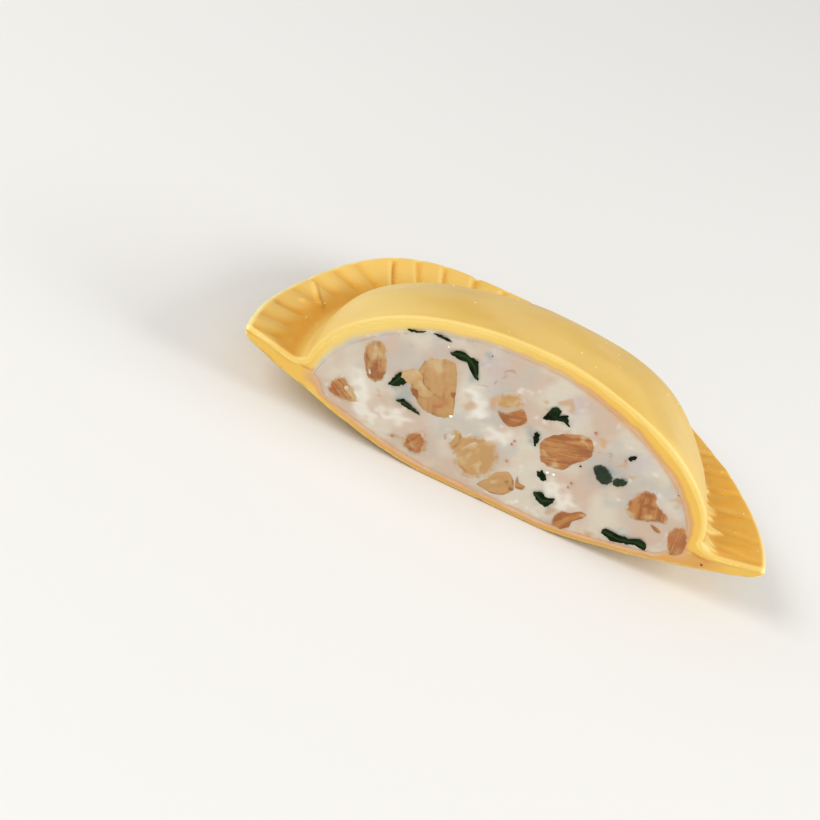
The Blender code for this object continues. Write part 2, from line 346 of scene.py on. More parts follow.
def fillingColour(where, value):
    # the clouds with the painted strands, stains and the tint near the sheets
    look = fillingLook
    base = milkyColour(where)
    ragged = (where.noise(1.3, 3.0, 0.6, shift=7.0) - 0.5) * 0.9
    base = (value("lavender") * 0.8).blend(base, look["lavender"])
    base = ((value("tan") + ragged * value("tan")).band(0.1, 0.9) * 0.8).blend(base, look["tan"])
    # greyer patches round the herbs
    base = (value("herbStain") * 0.7).blend(base, look["herbStain"])
    base = (value("strand") * 0.7).blend(base, look["white"])
    base = ((value("edge") + ragged * 0.6).band(0.35, 1.05) * 0.85).blend(base, look["edge"])
    return (value("line") * 0.55).blend(base, look["line"])


def fillingFinish():
    finish, shader, where, value = newFinish("fillingFinish")
    connect(shader, "Base Color", fillingColour(where, value))
    connect(shader, "Roughness", where.noise(2.4, 3.0, shift=2.0) * 0.4 + 0.18)
    setBump(shader, where.noise(1.4, 2.0, shift=5.0), 0.10, 0.3)
    setSoftBody(shader, 0.18, 2.0, (1.0, 0.7, 0.5))
    return finish


mushroomLook = {
    "brown": tone(187, 123, 60), "dark": tone(154, 91, 38), "tan": tone(192, 149, 92),
    "pale": tone(206, 178, 130), "red": tone(176, 98, 54), "crease": tone(134, 82, 44),
}


def mushroomFinish():
    finish, shader, where, value = newFinish("mushroomFinish")
    look = mushroomLook
    grain = where.node("UVMap", {"uv_map": "grain"})
    fibre = grain.node("TexNoise", None, {
        "Vector": grain, "Scale": 1.0, "Detail": 3.0, "Roughness": 0.6})
    patch = (where.noise(1.6, 3.0, 0.6, shift=3.0) - 0.5) * 0.7
    streak = (fibre - 0.5) * 1.1
    base = fibre.band(0.34, 0.66).blend(look["dark"], look["brown"])
    base = (value("tone") + patch + streak).band(0.10, 0.75).blend(base, look["tan"])
    pale = value("pale") * (0.75 + patch * 1.6 + streak * 0.9)
    base = (pale.band(0.12, 0.95) * 0.85).blend(base, look["pale"])
    base = (value("dark") + patch * value("dark")).band(0.1, 0.9).blend(base, look["dark"])
    base = (value("red") * 0.85).blend(base, look["red"])
    # darker creases, partly the mushroom's brown lines and partly painted shade in the folds, and
    # the painted shade round the borders
    base = (value("crease") * 0.65).blend(base, look["crease"])
    ragged = (where.noise(0.9, 4.0, 0.65, shift=7.0) - 0.5) * 2.0
    veil = value("veil")
    cover = (veil + ragged * veil.band(0.0, 0.25)).band(0.10, 0.90)
    cover = cover + where.noise(2.0, 3.0, 0.6, shift=8.0).band(0.55, 0.80) * value("tone") * 0.22
    base = cover.blend(base, fillingColour(where, value))
    connect(shader, "Base Color", base)
    connect(shader, "Roughness", fibre * 0.3 + 0.22)
    setBump(shader, fibre, 0.15, 0.2)
    setSoftBody(shader, 0.18, 1.5, (1.0, 0.5, 0.25))
    return finish


herbLook = {
    "dark": tone(6, 16, 2), "leaf": tone(24, 46, 12), "vein": tone(58, 84, 36),
    "veiled": tone(104, 114, 104),
}


def herbFinish():
    finish, shader, where, value = newFinish("herbFinish")
    look = herbLook
    leaf = where.noise(1.1, 3.0, 0.6).band(0.35, 0.7).blend(look["dark"], look["leaf"])
    leaf = (value("vein") * 0.6).blend(leaf, look["vein"])
    connect(shader, "Base Color", (value("veil") * 0.4).blend(leaf, look["veiled"]))
    connect(shader, "Roughness", where.noise(1.0, 2.0, shift=2.0) * 0.3 + 0.25)
    shader.inputs["Specular IOR Level"].default_value = 0.07
    return finish


def plainFinish(name, first, second, size, roughness):
    # small things: two near colours in soft patches
    finish, shader, where, _ = newFinish(name)
    connect(shader, "Base Color", where.noise(size).band(0.4, 0.6).blend(first, second))
    shader.inputs["Roughness"].default_value = roughness
    return finish


# The raviolo is a lens: its surfaces are heights over the radius and the angle from +X.

def bell(key, theta):
    # the named amount at its own angle, fading like a bell to both sides
    return lens[key] * np.exp(-((theta - lens[key + "Angle"]) / lens[key + "Spread"]) ** 2)


def rimRadius(theta):
    # circle with a slight wave, drawn in a little behind the right shoulder
    wave = lens["rimScallop"] * np.cos(lens["waveCount"] * (theta - lens["waveAngle"]))
    return lens["rimRadius"] + wave - bell("tuck", theta)


def domeRadius(theta):
    # circle that shrinks a little towards both ends of the cut and at the back left, and
    # bulges at the back right
    cosine = np.cos(theta)
    ends = lens["domeCutShrink"] * cosine**6 + lens["domeSideShrink"] * cosine**5
    return lens["domeRadius"] + bell("bulge", theta) - bell("shrink", theta) - ends


def domeCurve(share, theta):
    # (1 - share^power)^fullness, with a fuller shoulder at the left end
    power = lens["domePower"] + lens["domePowerLeft"] * ((1.0 - np.cos(theta)) / 2.0) ** 12
    fullness = lens["domeFullness"] - lens["domeFullnessEnds"] * np.cos(theta) ** 2
    inside = np.clip(1.0 - np.clip(share, 0.0, 1.0) ** power, 0.0, 1.0) ** fullness
    return inside - 2.0 * np.clip(share - 1.0, 0.0, None)


def flangeShare(radius, theta):
    # 0 at the foot of the dome, 1 at the rim
    foot = domeRadius(theta)
    return np.clip((radius - foot) / (rimRadius(theta) - foot), 0.0, 1.0)


def waveLift(radius, theta):
    # the flange goes gently up and down, and hangs a little behind the dome
    wave = lens["flangeLift"] * np.cos(lens["waveCount"] * (theta - lens["waveAngle"]))
    middle = (lens["droopStart"] + lens["droopEnd"]) / 2.0
    hang = ease(lens["droopStart"], middle, theta) * ease(lens["droopEnd"], middle, theta)
    return (wave - lens["droop"] * hang ** lens["droopPower"]) * flangeShare(radius, theta) ** 1.5


def flangeLevel(radius, theta):
    # straight slope from the foot up to the rim, plus the wave
    share = flangeShare(radius, theta)
    slope = lens["flangeFootZ"] + (lens["flangeRimZ"] - lens["flangeFootZ"]) * share
    return slope + waveLift(radius, theta)


def edgeRounding(radius, theta):
    # parabola over the outermost share of the flange
    last = lens["roundedShare"]
    share = np.clip((flangeShare(radius, theta) - (1.0 - last)) / last, 0.0, 1.0)
    return lens["rimRounding"] * share**2


def seamLevel(radius, theta):
    return flangeLevel(radius, theta) - lens["flangeTopSheet"]


def topOutside(radius, theta):
    # dome and flange with a fillet that is wider at the right end
    dome = lens["domeHeight"] * domeCurve(radius / domeRadius(theta), theta)
    flange = flangeLevel(radius, theta) - edgeRounding(radius, theta)
    fillet = lens["fillet"] + lens["filletRight"] * ((1.0 + np.cos(theta)) / 2.0) ** 6
    return softMax(dome, flange, fillet)


def topInside(radius, theta):
    # vault over the filling, then the seam
    seam = seamLevel(radius, theta)
    crown = lens["domeHeight"] - lens["topSheet"]
    share = radius / (domeRadius(theta) - lens["topSheetSide"])
    vault = seam + (crown - seam) * domeCurve(share, theta)
    return np.maximum(vault, seam)


def flatRadius(theta):
    # the flat spot under the belly reaches further towards the back
    return lens["flatReach"] + lens["flatReachBack"] * np.sin(theta)


def bottomOutside(radius, theta):
    # flat spot, belly and underside of the flange
    flat = flatRadius(theta)
    share = np.clip((radius - flat) / (rimRadius(theta) - flat), 0.0, 1.0)
    edge = lens["flangeRimZ"] - lens["flangeThickness"] + edgeRounding(radius, theta)
    belly = -lens["bellyDepth"] + (lens["bellyDepth"] + edge) * share ** lens["bellyPower"]
    return belly + waveLift(radius, theta)


def bottomInside(radius, theta):
    # bowl under the filling, then the seam
    foot = domeRadius(theta)
    bowl = bottomOutside(radius, theta) + lens["bottomSheet"]
    seam = seamLevel(radius, theta)
    end = foot - lens["topSheetSide"] - lens["seamGap"]
    return bowl + (seam - bowl) * ease(lens["bowlEdge"] * foot, end, radius)


def angles(columns, crowding=0.5):
    # angles from 0 to 180 degrees, closer together near the cut by a sine
    share = np.linspace(0.0, 1.0, columns)
    return math.pi * (share - crowding * np.sin(2.0 * math.pi * share) / (2.0 * math.pi))


def outward(height, radius, theta):
    # unit normal of a height over the radius, as its parts along the radius and up
    step = 0.02
    slope = (height(radius + step, theta) - height(np.maximum(radius - step, 0.0), theta)) / (
        radius + step - np.maximum(radius - step, 0.0))
    length = np.sqrt(1.0 + slope**2)
    return -slope / length, 1.0 / length


def cornerDrop(distance, size):
    # how far a rounded corner of the given size lies under the full shape
    inside = np.clip(1.0 - distance / size, 0.0, 1.0)
    return size * (1.0 - np.sqrt(np.clip(1.0 - inside**2, 0.0, 1.0)))


def surfaceGrid(height, radius, theta, offset):
    # points on a height over the radius, moved along the normal by offset
    along, up = outward(height, radius, theta)
    reach = radius + along * offset
    y = reach * np.sin(theta)
    y[:, 0] = y[:, -1] = 0.0
    return np.stack([reach * np.cos(theta), y, height(radius, theta) + up * offset], axis=-1)


def edgeLine(grid):
    # the line of a half-disc grid that lies in the cut, from the left end to the right
    return np.concatenate([grid[::-1, -1], grid[1:, 0]])


def stripBetween(upper, lower, shares):
    # rows of points from an upper line to a lower line
    shares = shares[:, None, None]
    return upper[None] * (1.0 - shares) + lower[None] * shares


# Crimps run outwards over the flange: slots on the right, wider pleats on the left. Starts,
# ends and reaches are shares of the flange's width, and pairs are limits of random draws.
crimp = {
    "count": 26, "wander": (-0.10, 0.10), "width": 0.50, "widths": (0.8, 1.35), "depth": 0.50,
    "depths": (0.6, 1.1), "start": 0.22, "starts": (-0.06, 0.12), "end": 1.02,
    "ends": (-0.06, 0.04), "leanSlots": -0.07, "leanPleats": 0.12, "leans": (-0.03, 0.03),
    "leanTurn": 2.32, "turnWidth": 0.06, "pleatStart": 0.12, "pleatShallow": 0.4,
    "pleatWiden": 0.9, "steepSide": 0.7, "faintRight": 0.85, "lip": 0.08, "lipPlace": 0.72,
    "lipWidth": 0.30, "lipFade": 0.6, "bead": 0.14, "beadPlace": 0.95, "beadWidth": 0.035,
    "valley": 0.16, "stripe": 0.04, "foldRise": 0.40, "foldWidth": 0.38,
    "fold": [(-29.6, 15.8), (-28.6, 13.9), (-27.8, 12.3), (-28.8, 11.6), (-30.0, 11.4)],
}
fingers = {
    "first": 0.05, "pitch": 0.046, "last": 0.95, "wander": (-0.3, 0.3), "reaches": (0.22, 0.46),
    "width": 0.75, "widths": (0.6, 1.3), "slants": (-0.6, 0.9), "heights": (0.6, 1.0),
    "rise": 0.34, "soft": 0.32,
}


def crimpGrooves(radius, theta, share):
    # each groove is a bell across with one steeper side; towards the right end they are
    # faint. Also gives the lip beside each slot, raised a little and painted with a highlight.
    chance = np.random.default_rng(11)
    pressed = np.zeros(np.broadcast(radius, theta).shape)
    lips = np.zeros_like(pressed)
    turn, turnWidth = crimp["leanTurn"], crimp["turnWidth"]
    for number in range(crimp["count"]):
        middle = math.pi * (number + 0.5 + chance.uniform(*crimp["wander"])) / crimp["count"]
        pleat = float(ease(turn - turnWidth, turn + turnWidth, middle))
        lean = crimp["leanSlots"] + (crimp["leanPleats"] - crimp["leanSlots"]) * pleat
        lean += chance.uniform(*crimp["leans"])
        width = crimp["width"] * chance.uniform(*crimp["widths"])
        start = crimp["start"] + chance.uniform(*crimp["starts"]) + crimp["pleatStart"] * pleat
        end = crimp["end"] + chance.uniform(*crimp["ends"])
        right = ((1.0 + math.cos(middle)) / 2.0) ** 3
        depth = chance.uniform(*crimp["depths"]) * (1.0 - crimp["faintRight"] * right)
        depth *= 1.0 - crimp["pleatShallow"] * pleat
        apart = (theta - middle - lean * (share - 0.5)) * radius
        side = np.where(apart > 0.0, 1.0, crimp["steepSide"])
        width = width * side * (1.0 + crimp["pleatWiden"] * pleat)
        length = ease(start - 0.08, start + 0.14, share) * (1.0 - ease(end - 0.12, end, share))
        pressed = np.maximum(pressed, depth * np.exp(-(apart / width) ** 2) * length)
        lip = np.exp(-((apart - crimp["lipPlace"]) / crimp["lipWidth"]) ** 2)
        lip = lip * (1.0 - crimp["lipFade"] * pleat)
        lips = np.maximum(lips, depth * lip * length)
    return pressed, lips


def footFingers(radius, theta, share):
    # short raised fingers at the foot of the dome near the right end, each narrowing
    # outwards by a square root
    chance = np.random.default_rng(29)
    raised = np.zeros(np.broadcast(radius, theta).shape)
    soft = fingers["soft"]
    for step in range(int(fingers["last"] / fingers["pitch"])):
        wander = chance.uniform(*fingers["wander"])
        middle = fingers["first"] + fingers["pitch"] * (step + wander)
        reach = chance.uniform(*fingers["reaches"])
        width = fingers["width"] * chance.uniform(*fingers["widths"])
        half = width * np.sqrt(np.clip(1.0 - share / reach, 0.0, 1.0))
        slant = chance.uniform(*fingers["slants"]) * share / reach
        apart = np.abs((theta - middle) * radius - slant)
        body = ease(half + soft, half - soft, apart) * ease(reach, reach - 0.12, share)
        raised = np.maximum(raised, chance.uniform(*fingers["heights"]) * body)
    return raised * (1.0 - ease(0.7, 0.95, theta)) * ease(0.0, 0.05, share)


def crimpRelief(radius, theta):
    # grooves, fingers, a bead along the rim and a shallow valley between them; also says
    # how deeply each point is pressed, with painted shade in that orange, and where the paler
    # fingers and the lips with their painted highlight are
    share = flangeShare(radius, theta)
    grooves, lips = crimpGrooves(radius, theta, share)
    raised = footFingers(radius, theta, share)
    left, right = ease(1.7, 2.6, theta), 1.0 - ease(0.5, 1.1, theta)
    valley = ease(0.02, 0.25, share) * (1.0 - ease(0.70, 0.88, share))
    bead = crimp["bead"] * np.exp(-((share - crimp["beadPlace"]) / crimp["beadWidth"]) ** 2)
    stripes = crimp["stripe"] * right * valley * lumps(theta * 30.0, 0.0, 0.0, 1.3, 12)
    relief = bead - crimp["depth"] * grooves + crimp["lip"] * lips + fingers["rise"] * raised
    relief = relief - crimp["valley"] * valley * (1.0 - 0.7 * left) + stripes
    x, y = radius * np.cos(theta), radius * np.sin(theta)
    fold = nearLines(x, y, [smoothLine(crimp["fold"])], crimp["foldWidth"])
    relief = relief + crimp["foldRise"] * fold * ease(0.1, 0.3, share)
    # orange paint over the flange: the pressed dough's deeper colour plus painted shade, stronger
    # on the right flange, in the grooves and in the valley at the foot of the dome on the left
    golden = ease(0.02, 0.25, share) * (1.0 - ease(0.91, 0.97, share))
    foot = (1.0 - ease(0.30, 0.75, share)) * golden * left
    pressed = (0.10 + 0.65 * right) * golden + grooves + 0.9 * foot + 5.0 * stripes
    pressed = np.clip(pressed - raised - 0.6 * lips, 0.0, 1.0)
    return relief, pressed, np.maximum(raised, lips)


# The cut face is hollowed a little, and short splits run along the seam from both ends of
# the filling.
cutShape = {
    "contactStart": 25.0, "contactEnd": 27.0, "hollow": 0.03, "lump": 0.04, "lumpSize": 2.6,
    "splitWidth": 0.16, "splitDepth": 0.07,
    "splits": [[(-25.2, -1.0), (-26.2, -1.2), (-27.2, -1.25)],
               [(26.4, -1.5), (27.4, -1.7), (28.4, -1.8)]],
}


def cutPaint(points, across):
    # values for a sheet's cut face: across runs from 0 outside to 1 at the filling, where the
    # colour goes over into that of the filling
    x, z = points[..., 0], points[..., 2]
    contact = ease(cutShape["contactEnd"], cutShape["contactStart"], np.abs(x + 0.2))
    return {"cut": 1.0, "across": across, "contact": contact, **fillingPaint(x, z)}


def cutFace(outside, inside, rows, seed):
    # strip between the cut's edges of two grids, moved in by a sine with lumps on it and by
    # the splits; also gives the share across it and where it is split
    look = cutShape
    across = np.linspace(0.0, 1.0, rows)
    face = stripBetween(edgeLine(outside), edgeLine(inside), across)
    x, z = face[..., 0], face[..., 2]
    uneven = look["lump"] * lumps(x, 0.0, z, look["lumpSize"], seed) - look["hollow"]
    split = nearLines(x, z, look["splits"], look["splitWidth"])
    face[..., 1] = np.sin(math.pi * across)[:, None] * uneven + look["splitDepth"] * split
    return face, across[:, None], split


# The pale shares below paint a highlight on the cut's corner, paler fingers with painted
# highlights on the lips, and painted sheen on the dome's right and left sides.
topSheetLook = {
    "columns": 520, "domeRows": 42, "flangeRows": 26, "acrossRows": 17, "wallRows": 5,
    "corner": 0.48, "cornerWaver": 0.08, "lump": 0.16, "lumpSize": 13.0, "dimple": 0.02,
    "dimpleSize": 4.0, "calmWidth": 1.2, "calmRelief": 0.35, "swell": 0.12,
    "cornerHighlight": 0.6, "paleFingersLipHighlight": 0.6, "sheenRight": 0.30, "sheenLeft": 0.5,
}


def makeTopSheet(finish):
    look = topSheetLook
    theta = angles(look["columns"])[None, :]
    domeShare = 1.0 - (1.0 - np.linspace(0.0, 1.0, look["domeRows"]) ** 1.5) ** 2
    flangePart = np.linspace(0.0, 1.0, look["flangeRows"] + 1)[1:]

    def radii(foot):
        dome = domeShare[:, None] * foot
        flange = foot + flangePart[:, None] * (rimRadius(theta) - foot)
        return np.concatenate([dome, flange])

    radius = radii(domeRadius(theta))
    x, y = radius * np.cos(theta), radius * np.sin(theta)
    relief, pressed, raised = crimpRelief(radius, theta)
    dome = 1.0 - ease(0.0, 0.1, flangeShare(radius, theta))
    relief = relief + dome * look["lump"] * lumps(x, y, 0.0, look["lumpSize"], 5)
    relief = relief + look["dimple"] * lumps(x, y, 0.0, look["dimpleSize"], 6)
    distance = radius * np.sin(theta)
    corner = look["corner"] * (1.0 + look["cornerWaver"] * lumps(x, 0.0, 0.0, 6.0, 7))
    calm = look["calmRelief"] + (1.0 - look["calmRelief"]) * ease(0.0, look["calmWidth"], distance)
    relief = relief * calm       # shallower next to the cut
    outside = surfaceGrid(topOutside, radius, theta, relief - cornerDrop(distance, corner))
    underRadius = radii(domeRadius(theta) - lens["topSheetSide"])
    inside = surfaceGrid(topInside, underRadius, theta, np.zeros_like(underRadius))
    # painted sheen on the dome's left and right sides
    sides = look["sheenRight"] * ease(6.0, 22.0, x) + look["sheenLeft"] * ease(-12.0, -23.0, x)
    # pale paint, starting with the rim's thin edge, which also carries a painted highlight
    pale = np.maximum(ease(0.93, 0.97, flangeShare(radius, theta)), dome * sides)
    # painted highlight along the cut's rounded outer corner
    pale = np.maximum(pale, look["cornerHighlight"] * ease(0.55, 0.15, distance))
    # paler on the raised fingers, and a painted highlight on the lips beside the slots
    pale = np.maximum(pale, look["paleFingersLipHighlight"] * raised)
    # painted light on the outer half of the left flange
    warm = ease(0.20, 0.60, flangeShare(radius, theta)) * ease(1.8, 2.6, theta)

    face, across, split = cutFace(outside, inside, look["acrossRows"], 8)
    wallShare = np.linspace(0.0, 1.0, look["wallRows"])
    wall = stripBetween(outside[-1], inside[-1], wallShare)
    swell = look["swell"] * np.sin(math.pi * wallShare)[:, None]
    wall[..., 0] += swell * np.cos(theta)
    wall[..., 1] += swell * np.sin(theta)
    # the rim value carries the pale paint with its painted highlights and sheen, and the wall
    # takes it in full
    piece = makePiece("topSheet", [
        {"points": outside, "values": {"pressed": pressed, "rim": pale, "warm": warm}},
        {"points": inside, "values": cutPaint(inside, 1.0)},
        {"points": face, "values": {
            # painted shade in the splits
            **cutPaint(face, across), "crack": split,
            "stain": 0.15 + 0.85 * ease(-24.0, 16.0, face[..., 0])}},
        {"points": wall, "values": {"rim": 1.0}},
    ], finish, 50.0)
    print("upper sheet:", len(piece.data.polygons), "faces")
    return piece


bottomSheetLook = {
    "columns": 360, "flatRows": 14, "bellyRows": 44, "acrossRows": 13, "wallRows": 4,
    "corner": 0.35, "lump": 0.10, "lumpSize": 9.0, "dimple": 0.03, "dimpleSize": 3.0,
}


def makeBottomSheet(finish):
    look = bottomSheetLook
    theta = angles(look["columns"])[None, :]
    flat = flatRadius(theta)
    flatPart = np.linspace(0.0, 1.0, look["flatRows"])[:, None]
    bellyPart = np.linspace(0.0, 1.0, look["bellyRows"] + 1)[1:, None]
    radius = np.concatenate([flatPart * flat, flat + bellyPart * (rimRadius(theta) - flat)])
    x, y = radius * np.cos(theta), radius * np.sin(theta)
    belly = ease(0.0, 4.0, radius - flat) * (1.0 - ease(0.6, 1.0, flangeShare(radius, theta)))
    relief = belly * look["lump"] * lumps(x, y, 0.0, look["lumpSize"], 21)
    relief = relief + belly * look["dimple"] * lumps(x, y, 0.0, look["dimpleSize"], 22)
    corner = cornerDrop(radius * np.sin(theta), look["corner"])
    outside = surfaceGrid(bottomOutside, radius, theta, corner - relief)
    inside = surfaceGrid(bottomInside, radius, theta, np.zeros_like(radius))
    face, across, split = cutFace(outside, inside, look["acrossRows"], 23)
    wall = stripBetween(outside[-1], inside[-1], np.linspace(0.0, 1.0, look["wallRows"]))
    # paler towards the rim; its edge and wall take the painted rim highlight
    pale = ease(0.8, 1.0, flangeShare(radius, theta))
    piece = makePiece("bottomSheet", [
        {"points": outside, "values": {"rim": pale}},
        {"points": inside, "values": cutPaint(inside, 1.0)},
        {"points": face, "values": {
            # painted shade in the splits
            **cutPaint(face, across**0.5), "stain": 0.8, "crack": split,
            "under": ease(-26.0, -12.0, face[..., 0]) * ease(32.0, 28.0, face[..., 0])}},
        {"points": wall, "values": {"rim": 1.0}},
    ], finish, 50.0)
    print("lower sheet:", len(piece.data.polygons), "faces")
    return piece


# Mushroom pieces, each by the outline of its cut face. Grain is the angle of its fibres in
# degrees, veil is how wide the cream covers its border, and red, pale and dark are soft
# patches of that colour as x, z and size.
mushrooms = [
    {"grain": 150, "tone": 0.25, "veil": 0.25,
     "outline": [(-23.3, -0.1), (-22.1, 0.4), (-21.2, -0.4), (-20.2, -1.3), (-19.6, -2.7),
         (-20.3, -3.4), (-22.0, -3.4), (-23.3, -2.9), (-23.6, -1.5)],
     "red": [(-22.6, -2.3, 0.8)],
     "pale": [(-20.8, -2.8, 0.9)],
     "creases": [[(-23.2, -2.7), (-21.9, -1.8)]]},
    {"grain": 110, "tone": 0.45, "veil": 0.14,
     "outline": [(-22.0, 6.1), (-21.2, 7.2), (-19.9, 7.2), (-18.7, 5.4), (-17.9, 3.6),
         (-17.7, 1.8), (-18.4, 0.8), (-19.6, 1.0), (-21.0, 2.9), (-21.8, 4.7)],
     "pale": [(-20.3, 5.2, 1.1), (-20.9, 6.2, 0.7)],
     "dark": [(-18.9, 2.2, 1.0)],
     "creases": [[(-21.3, 4.6), (-20.3, 3.6), (-19.5, 3.7), (-18.5, 3.8)]]},
    {"grain": 116, "tone": 0.62, "veil": 0.05,
     "outline": [(-14.9, 7.6), (-13.6, 8.8), (-11.3, 9.3), (-10.3, 7.8), (-9.3, 5.5), (-8.4, 3.0),
         (-8.0, 1.2), (-9.3, 0.1), (-11.9, 0.2), (-13.2, 1.1), (-14.7, 2.2), (-15.2, 4.4)],
     "red": [(-10.4, 2.3, 0.8)],
     "pale": [(-13.2, 7.6, 1.6)],
     "dark": [(-13.8, 2.3, 0.9), (-9.0, 4.2, 0.5)],
     "creases": [[(-14.1, 5.6), (-13.3, 4.2), (-11.0, 3.3), (-9.9, 3.9)],
         [(-11.0, 9.0), (-10.1, 7.2), (-9.2, 4.6), (-8.4, 2.2)]]},
    {"grain": 15, "tone": 0.15, "veil": 0.1,
     "outline": [(-4.3, 5.2), (-3.2, 5.1), (-2.3, 6.1), (-1.4, 7.1), (-0.4, 6.5), (0.1, 5.4),
         (-0.7, 4.2), (-1.8, 3.6), (-3.0, 4.0)],
     "dark": [(-3.2, 4.8, 0.6), (-0.6, 5.5, 0.5)]},
    {"grain": 60, "tone": 0.3, "veil": 0.25,
     "outline": [(-12.5, -4.3), (-11.9, -3.0), (-10.6, -2.2), (-9.7, -3.0), (-9.2, -4.6),
         (-9.1, -5.8), (-10.3, -6.3), (-11.8, -5.7)],
     "red": [(-10.4, -3.0, 0.7), (-9.8, -5.4, 0.6)],
     "pale": [(-10.6, -4.8, 0.6)]},
    {"grain": 75, "tone": 1.0, "veil": 0.22,
     "outline": [(-5.4, -1.2), (-3.7, 0.5), (-1.8, 0.6), (-0.6, -1.0), (-0.3, -2.9), (-1.1, -4.4),
         (-2.1, -5.9), (-3.8, -6.2), (-5.6, -4.9), (-6.2, -2.9)],
     "pale": [(-3.9, -0.8, 1.2), (-2.2, -3.4, 1.2), (-4.6, -3.6, 0.9)],
     "creases": [[(-5.5, -4.8), (-4.2, -4.6), (-2.6, -5.2)]]},
    {"grain": 35, "tone": 0.75, "veil": 0.06,
     "outline": [(-1.6, -6.2), (-0.9, -4.6), (-0.1, -2.9), (1.2, -2.1), (2.5, -3.0), (3.2, -4.5),
         (2.4, -6.0), (0.6, -6.6)],
     "pale": [(0.8, -4.4, 0.7)],
     "dark": [(2.9, -4.6, 0.5), (0.4, -6.4, 0.4)],
     "creases": [[(-1.3, -6.0), (-0.8, -4.5), (0.0, -3.0), (1.0, -2.4)],
         [(1.9, -2.6), (2.6, -4.4), (1.8, -5.9)]]},
    {"grain": 20, "tone": 0.22, "veil": 0.07,
     "outline": [(2.3, 4.1), (3.2, 5.6), (5.0, 7.0), (6.7, 7.6), (8.3, 7.5), (9.3, 5.6),
         (8.9, 4.1), (7.8, 2.8), (6.9, 1.0), (5.3, 0.6), (3.6, 0.9), (2.5, 2.6)],
     "pale": [(5.6, 1.4, 0.8), (3.4, 2.2, 0.6), (7.6, 6.6, 0.6)],
     "dark": [(4.6, 6.2, 0.6), (7.2, 3.0, 0.6)],
     "creases": [[(3.3, 5.7), (5.0, 6.9), (6.4, 7.4)]]},
    {"grain": 60, "tone": 0.08, "veil": 0.14,
     "outline": [(8.9, -6.8), (8.7, -5.2), (9.3, -4.0), (10.5, -3.8), (11.7, -2.8), (12.7, -2.9),
         (12.4, -3.9), (11.4, -5.1), (11.5, -6.2), (10.4, -7.2)],
     "pale": [(11.8, -3.4, 0.5)],
     "dark": [(9.6, -4.6, 0.6), (11.0, -6.2, 0.4)],
     "creases": [[(9.2, -4.6), (10.6, -4.4), (11.2, -5.2)]]},
    {"grain": 110, "tone": 0.16, "veil": 0.2,
     "outline": [(15.4, 1.2), (15.8, 3.2), (16.9, 4.4), (18.3, 4.3), (19.5, 2.9), (21.4, 1.9),
         (22.0, 0.7), (20.8, 0.3), (18.7, -0.8), (17.2, -1.1), (15.7, -0.2)],
     "pale": [(16.6, -0.1, 0.8), (19.0, 0.4, 0.6)],
     "dark": [(17.4, 3.4, 0.8), (18.6, 2.0, 0.6)],
     "creases": [[(16.6, -0.6), (18.0, -0.4), (19.9, 0.5)],
         [(19.4, 3.0), (20.8, 2.1), (21.7, 1.0)]]},
    {"grain": 100, "tone": 0.35, "veil": 0.16,
     "outline": [(22.1, -0.2), (22.5, 1.1), (23.6, 1.8), (24.7, 0.6), (25.5, -1.4), (25.4, -2.9),
         (24.1, -3.7), (22.9, -2.2)],
     "red": [(23.4, -0.9, 0.9)]},
]
